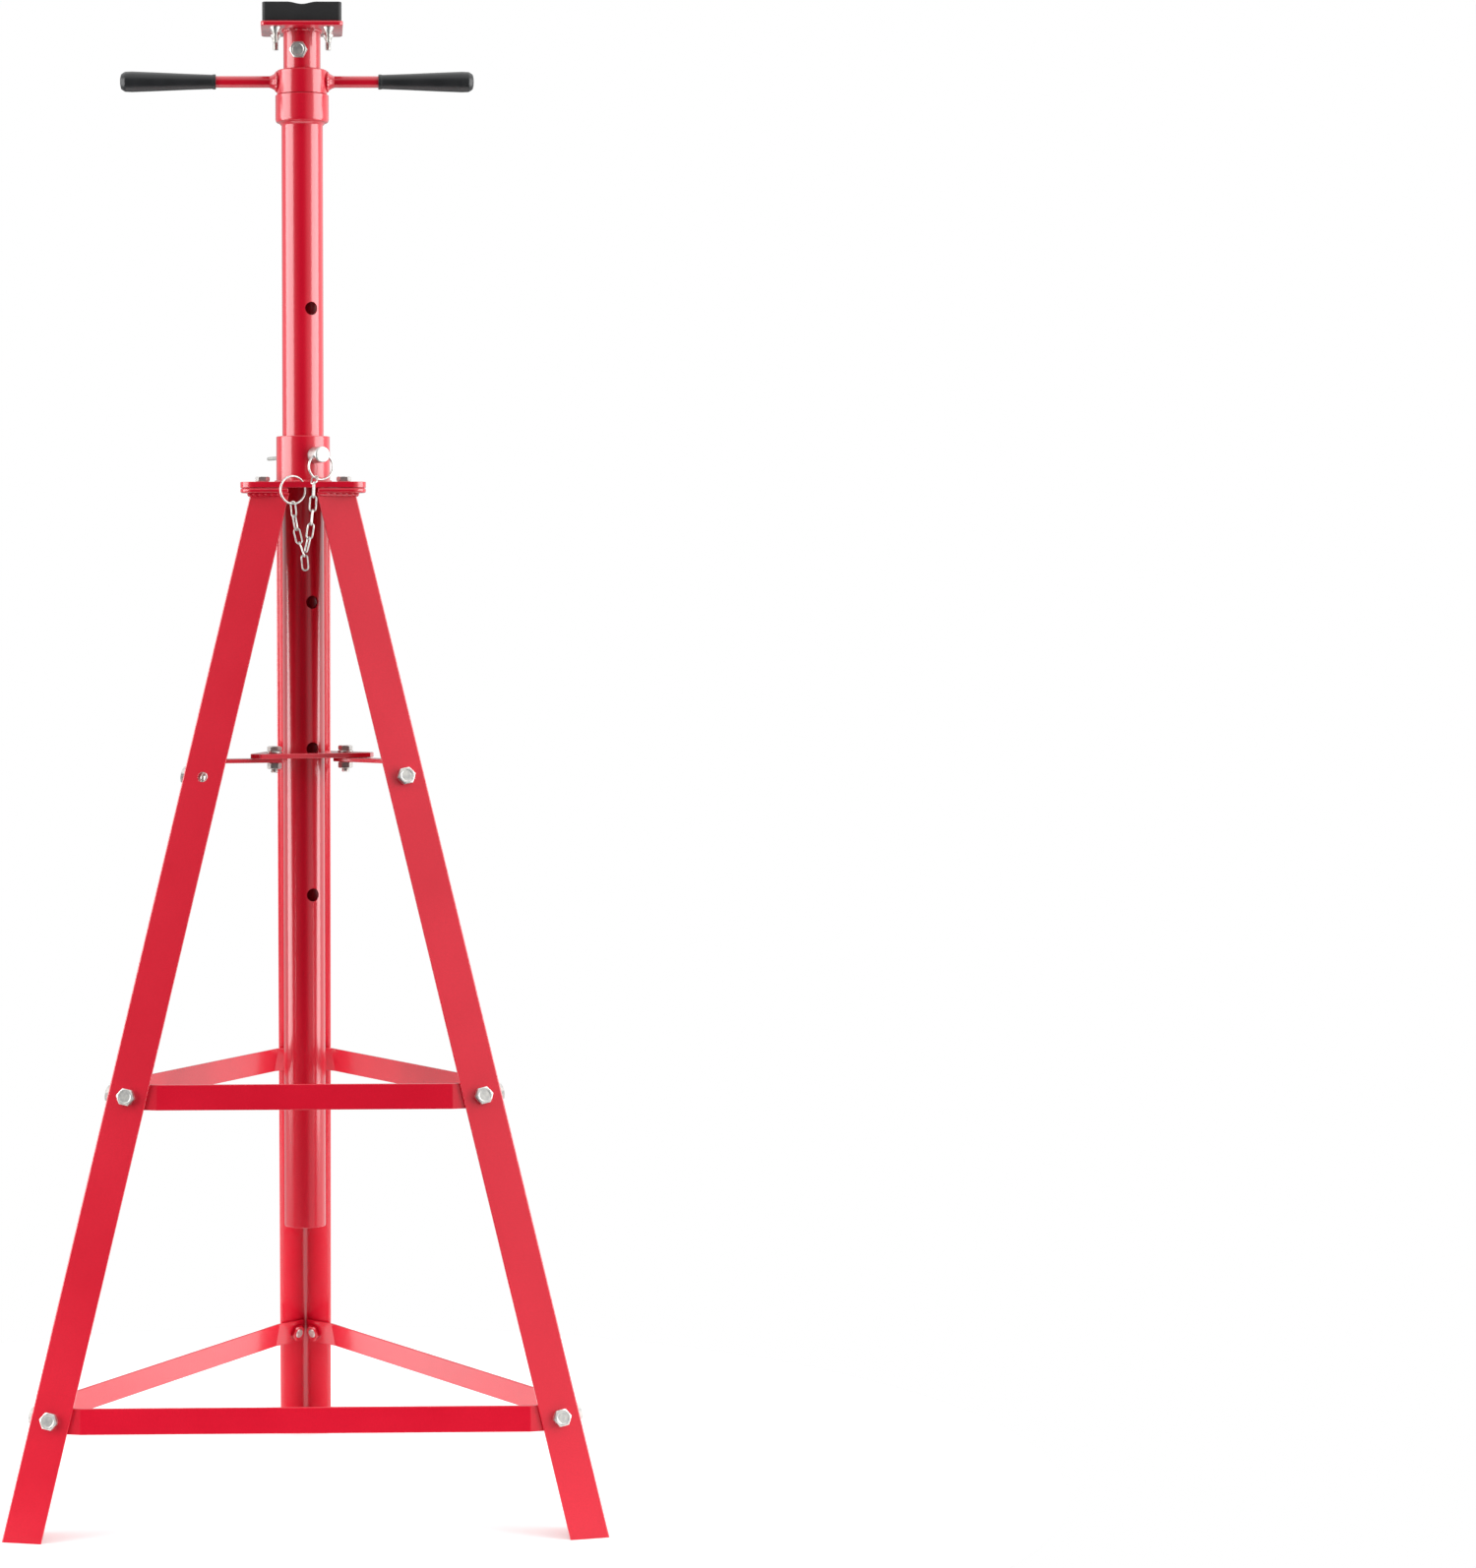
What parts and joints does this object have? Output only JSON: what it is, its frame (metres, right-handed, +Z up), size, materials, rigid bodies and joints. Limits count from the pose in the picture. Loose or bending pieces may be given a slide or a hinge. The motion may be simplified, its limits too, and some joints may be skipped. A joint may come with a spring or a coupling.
{
  "type": "axle jack stand",
  "caption": "Tall tripod axle stand of painted angle iron with a pin-locked telescopic mast, a hand-turned lifting nut with gripped arms, and a rubber-faced saddle.",
  "frame": {"origin": "middle of the footprint on the floor, below the bounding box's centre; the mast's axis is at x = 0, y = -0.0818 m", "axes": "+Z up along the mast; +X to the right along the turning arms at rest; the front, with the locking pin and its chain, faces -Y, and one leg points straight back along +Y"},
  "size_m": [0.601, 0.5304, 1.535],
  "materials": {
    "red_paint": "gloss powder coat",
    "zinc_plate": "bright zinc plate",
    "screw_steel": "black oxide, oiled",
    "pad_rubber": "matt moulded rubber",
    "grip_vinyl": "dipped vinyl, satin"
  },
  "bodies": {
    "stand": {"top_plate": "red_paint", "guide_plate": "red_paint", "anchor_ring": "zinc_plate", "leg_left": "red_paint", "leg_right": "red_paint", "leg_rear": "red_paint", "plate_bolt_left": "zinc_plate", "plate_bolt_right": "zinc_plate", "plate_bolt_rear": "zinc_plate", "upper_brace_front": "red_paint", "upper_brace_right": "red_paint", "upper_brace_left": "red_paint", "lower_brace_front": "red_paint", "lower_brace_right": "red_paint", "lower_brace_left": "red_paint", "upper_bolt_left_a": "zinc_plate", "upper_bolt_left_b": "zinc_plate", "upper_bolt_right_a": "zinc_plate", "upper_bolt_right_b": "zinc_plate", "upper_bolt_rear_a": "zinc_plate", "upper_bolt_rear_b": "zinc_plate", "lower_bolt_left_a": "zinc_plate", "lower_bolt_left_b": "zinc_plate", "lower_bolt_right_a": "zinc_plate", "lower_bolt_right_b": "zinc_plate", "lower_bolt_rear_a": "zinc_plate", "lower_bolt_rear_b": "zinc_plate", "guide_strap_left": "red_paint", "guide_bolt_left": "zinc_plate", "guide_nut_left": "zinc_plate", "strap_bolt_left": "zinc_plate", "guide_strap_right": "red_paint", "guide_bolt_right": "zinc_plate", "guide_nut_right": "zinc_plate", "strap_bolt_right": "zinc_plate", "guide_strap_rear": "red_paint", "guide_bolt_rear": "zinc_plate", "guide_nut_rear": "zinc_plate", "strap_bolt_rear": "zinc_plate"},
    "mast": {"mast_tube": "red_paint", "thrust_bearing": "zinc_plate"},
    "turning_nut": {"turning_nut": "red_paint", "arm_left": "red_paint", "arm_right": "red_paint", "grip_left": "grip_vinyl", "grip_right": "grip_vinyl"},
    "lift_screw": {"lift_screw": "screw_steel", "saddle": "red_paint", "saddle_pad": "pad_rubber", "pad_stud_front_left": "zinc_plate", "pad_stud_front_right": "zinc_plate", "pad_stud_rear_left": "zinc_plate", "pad_stud_rear_right": "zinc_plate", "saddle_bolt": "zinc_plate", "saddle_nut": "zinc_plate"},
    "locking_pin": {"locking_pin": "zinc_plate", "locking_pin_nose": "zinc_plate", "pull_ring": "zinc_plate"},
    "chain_left": {"chain_left": "zinc_plate"},
    "chain_right": {"chain_right": "zinc_plate"}
  },
  "joints": [
    {"name": "mast_slide", "type": "slide", "parent": "stand", "child": "mast", "axis": [0, 0, 1], "range_m": [-0.15, 0.45]},
    {"name": "nut_turn", "type": "hinge", "parent": "mast", "child": "turning_nut", "pos_m": [0, -0.08184, 1.459], "axis": [0, 0, -1], "range_deg": [0, 6480]},
    {"name": "screw_lift", "type": "slide", "parent": "mast", "child": "lift_screw", "axis": [0, 0, 1], "range_m": [0, 0.1081]},
    {"name": "pin_pull", "type": "slide", "parent": "stand", "child": "locking_pin", "axis": [0.4321, -0.9018, 0], "range_m": [0, 0.115], "deforming": ["chain_left", "chain_right"]},
    {"name": "chain_left_swing", "type": "hinge", "parent": "stand", "child": "chain_left", "pos_m": [-0.0105, -0.12484, 1.026], "axis": [-0.8301, -0.5457, -0.1152], "range_deg": [0, 62.1]},
    {"name": "chain_right_swing", "type": "hinge", "parent": "locking_pin", "child": "chain_right", "pos_m": [0.0119, -0.12213, 1.0523], "axis": [0.866, 0.4802, -0.1394], "range_deg": [0, 54.3]}
  ],
  "couplings": [
    {"joint": "screw_lift", "follows": "nut_turn", "m_per_rad": 0.00095493},
    {"joint": "chain_left_swing", "follows": "pin_pull", "rad_per_m": 9.4165},
    {"joint": "chain_right_swing", "follows": "pin_pull", "rad_per_m": 8.2256}
  ]
}
